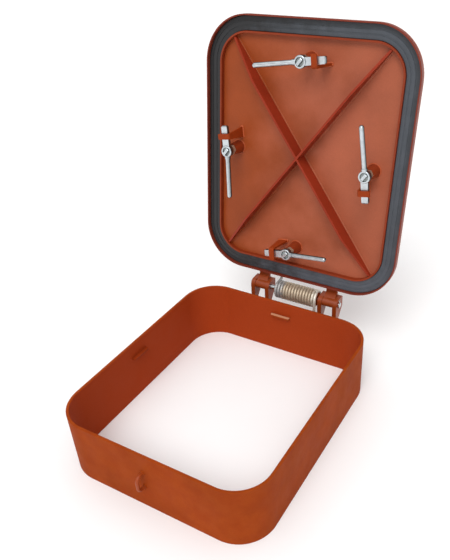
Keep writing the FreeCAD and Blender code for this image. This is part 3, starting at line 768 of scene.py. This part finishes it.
def weld_ribs():
    shells = []
    for rib in ("rib_through", "rib_half_front", "rib_half_back"):
        shells += welds_round(rib, INWARD, radius=0.0028)
    weld_group("rib_welds", "lid", shells, FINISHES["lid_paint"])


def weld_dogs():
    shells = []
    plate_level = foot_level(shut_points("keeper_front", on_lid=True), INWARD)
    for station in STATIONS:
        shells += welds_round("boss_" + station, INWARD, radius=0.0020, level=plate_level)
        shells += welds_round("keeper_" + station, INWARD, radius=0.0026)
    # These beads are lighter, partly as painted highlight.
    weld_group("dog_welds", "lid", shells, WELD_PAINT_GLINT)


def weld_lid_outside():
    shells = []
    lid_end = max(point.y for point in shut_points("lid_shell", on_lid=True))
    for side in ("left", "right"):
        shells += welds_round(
            "hinge_arm_" + side, OUTWARD, radius=0.0030, keep=lambda point: point.y < lid_end - EDGE_MARGIN
        )
    back_level = foot_level(shut_points("spring_clip", on_lid=True), OUTWARD)
    for station in STATIONS:
        shells += welds_round("boss_" + station, OUTWARD, radius=0.0030, level=back_level)
    shells += welds_round("grab_handle", OUTWARD, radius=0.0026, feet=2)
    shells += welds_round("spring_clip", OUTWARD, radius=0.0022, feet=2)
    weld_group("lid_outside_welds", "lid", shells, FINISHES["coaming_paint"])


def weld_coaming():
    shells = []
    for lug in ("left_outer", "left_inner", "right_inner", "right_outer"):
        shells += welds_round("lug_" + lug, BACKWARD, radius=0.0034, on_lid=False)
    shells += welds_round("spring_anchor", BACKWARD, radius=0.0026, on_lid=False)
    shells += welds_round("staple_eye", -BACKWARD, radius=0.0022, on_lid=False, feet=2)
    weld_group("coaming_welds", "coaming", shells, FINISHES["coaming_paint"])


def weld_wedges():
    """Each wedge is welded along its top edge alone."""
    shells = []
    for station, away in STATIONS.items():
        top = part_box("wedge_" + station)[1].z
        shells += welds_round(
            "wedge_" + station, away, radius=0.0020, on_lid=False, keep=lambda point: point.z > top
        )
    # The wedges' beads carry the same painted shade.
    weld_group("wedge_welds", "coaming", shells, WEDGE_SHADE_PAINT)


# ---------------------------------------------------------------- grease and painted shade in the hubs

SHADE_GREASE_RADIUS = 0.0123
SHADE_GREASE_DEPTH = 0.0006
SHADE_GREASE_SIDES = 40

# The floor of a hub's recess lies this far in from the lid plate's inner face.
HUB_FLOOR = 0.0720

# The skin's rings from the floor up to its top, as shares of its radius and depth, and its middle.
SHADE_GREASE_RINGS = ((1.0, 0.0), (1.0, 0.7), (0.93, 1.0), (0.5, 0.85))
SHADE_GREASE_MIDDLE = 0.9


def shade_grease_skin(floor, away):
    """Points and faces of a lumpy disc of grease and painted shade on a hub's floor."""
    across = away.orthogonal().normalized()
    beside = away.cross(across)
    points = [floor]
    for breadth, height in SHADE_GREASE_RINGS:
        for step in range(SHADE_GREASE_SIDES):
            angle = 2 * math.pi * step / SHADE_GREASE_SIDES
            lump = 1 + 0.12 * math.sin(3 * angle + 1.0) + 0.08 * math.sin(7 * angle)
            spoke = across * math.cos(angle) + beside * math.sin(angle)
            rise = away * (SHADE_GREASE_DEPTH * height * lump)
            points.append(floor + spoke * (SHADE_GREASE_RADIUS * breadth) + rise)
    points.append(floor + away * SHADE_GREASE_DEPTH * SHADE_GREASE_MIDDLE)
    middle = len(points) - 1
    top_ring = 1 + (len(SHADE_GREASE_RINGS) - 1) * SHADE_GREASE_SIDES
    faces = []
    for step in range(SHADE_GREASE_SIDES):
        beyond = (step + 1) % SHADE_GREASE_SIDES
        faces.append((0, 1 + beyond, 1 + step))
        for low in range(1, top_ring, SHADE_GREASE_SIDES):
            high = low + SHADE_GREASE_SIDES
            faces.append((low + step, low + beyond, high + beyond, high + step))
        faces.append((top_ring + step, top_ring + beyond, middle))
    return points, faces


def add_shade_grease():
    """A skin of grease, also painted shade, on the floor of each hub's recess, round the spindle's tang."""
    for station in STATIONS:
        joint = joint_named("dog_%s_swing" % station)
        away = Vector(joint["axis"])
        floor = Vector(joint["pos_m"]) + away * HUB_FLOOR
        piece = mesh_piece("hub_shade_grease_" + station, [shade_grease_skin(floor, away)], HUB_SHADE_GREASE)
        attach(piece, "dog_" + station)


# ---------------------------------------------------------------- studio

# The floor lies just under the coaming's lower edge, and is wide enough to have no end in view.
FLOOR_LEVEL = -0.0005
FLOOR_HALF = 60.0

# How bright the tent is, and its shares of that against the sine of the elevation.
TENT_STRENGTH = 1.05
TENT_LEVELS = ((0.0, 0.85), (0.12, 0.70), (0.35, 0.30), (0.85, 1.0))

# The soft light's azimuth from the front towards the right, elevation and breadth, in degrees,
# and its strength.
KEY_AZIMUTH = 14.0
KEY_ELEVATION = 52.0
KEY_BREADTH = 35.0
KEY_POWER = 1.65

# The camera's azimuth from the front towards the right, elevation and roll, in degrees, its place
# in metres, its sensor and lens in millimetres, and its shift in shares of the picture's height.
CAMERA_AZIMUTH = 32.26
CAMERA_ELEVATION = 34.985
CAMERA_ROLL = -3.348
CAMERA_PLACE = Vector((0.80455, -1.13377, 1.35896))
CAMERA_SENSOR = 36.0
CAMERA_LENS = 41.34
CAMERA_SHIFT = (-0.0371, 0.0533)


def add_floor():
    mesh = bpy.data.meshes.new("studio_floor")
    corners = [(-1, -1), (1, -1), (1, 1), (-1, 1)]
    mesh.from_pydata([(x * FLOOR_HALF, y * FLOOR_HALF, 0) for x, y in corners], [], [(0, 1, 2, 3)])
    floor = bpy.data.objects.new("studio_floor", mesh)
    floor.location.z = FLOOR_LEVEL
    bpy.context.scene.collection.objects.link(floor)
    nodes = Nodes("studio_floor")
    tone = nodes.ramp(nodes.noise(scale=3.0), [(0.3, grey(0.93)), (0.7, grey(0.95))])
    nodes.link(tone, nodes.shader.inputs["Base Color"])
    nodes.shader.inputs["Roughness"].default_value = 0.9
    mesh.materials.append(nodes.material)


def add_tent():
    """A white studio tent, brightest overhead and darkest some way above the horizon."""
    world = bpy.data.worlds.new("studio")
    world.use_nodes = True
    tree = world.node_tree
    sky = tree.nodes["Background"]
    sky.inputs["Strength"].default_value = TENT_STRENGTH
    direction = tree.nodes.new("ShaderNodeTexCoord")
    split = tree.nodes.new("ShaderNodeSeparateXYZ")
    tree.links.new(direction.outputs["Generated"], split.inputs["Vector"])
    ramp = tree.nodes.new("ShaderNodeValToRGB")
    set_stops(ramp.color_ramp, [(position, grey(level)) for position, level in TENT_LEVELS])
    tree.links.new(split.outputs["Z"], ramp.inputs["Fac"])
    tree.links.new(ramp.outputs["Color"], sky.inputs["Color"])
    bpy.context.scene.world = world


def add_key_light():
    """A broad soft light from above and in front."""
    lamp = bpy.data.lights.new("key_light", "SUN")
    lamp.angle = math.radians(KEY_BREADTH)
    lamp.energy = KEY_POWER
    holder = bpy.data.objects.new("key_light", lamp)
    holder.rotation_euler = (math.radians(90 - KEY_ELEVATION), 0, math.radians(KEY_AZIMUTH))
    bpy.context.scene.collection.objects.link(holder)


def add_camera():
    """The viewpoint: from the front right, above, and turned a little about the line of sight."""
    azimuth = math.radians(CAMERA_AZIMUTH)
    elevation = math.radians(CAMERA_ELEVATION)
    roll = math.radians(CAMERA_ROLL)
    back = Vector((
        math.sin(azimuth) * math.cos(elevation),
        -math.cos(azimuth) * math.cos(elevation),
        math.sin(elevation),
    ))
    right = (-back).cross(Vector((0, 0, 1))).normalized()
    up = right.cross(-back)
    rolled_right = right * math.cos(roll) + up * math.sin(roll)
    rolled_up = up * math.cos(roll) - right * math.sin(roll)
    data = bpy.data.cameras.new("camera")
    data.sensor_width = CAMERA_SENSOR
    data.lens = CAMERA_LENS
    data.shift_x, data.shift_y = CAMERA_SHIFT
    camera = bpy.data.objects.new("camera", data)
    aim = Matrix((rolled_right, rolled_up, back)).transposed().to_4x4()
    camera.matrix_world = Matrix.Translation(CAMERA_PLACE) @ aim
    bpy.context.scene.collection.objects.link(camera)
    bpy.context.scene.camera = camera


dress_cad_nodes()
add_spring()
weld_ribs()
weld_dogs()
weld_lid_outside()
weld_coaming()
weld_wedges()
add_shade_grease()
add_floor()
add_tent()
add_key_light()
add_camera()
bpy.context.scene.view_settings.view_transform = "Standard"
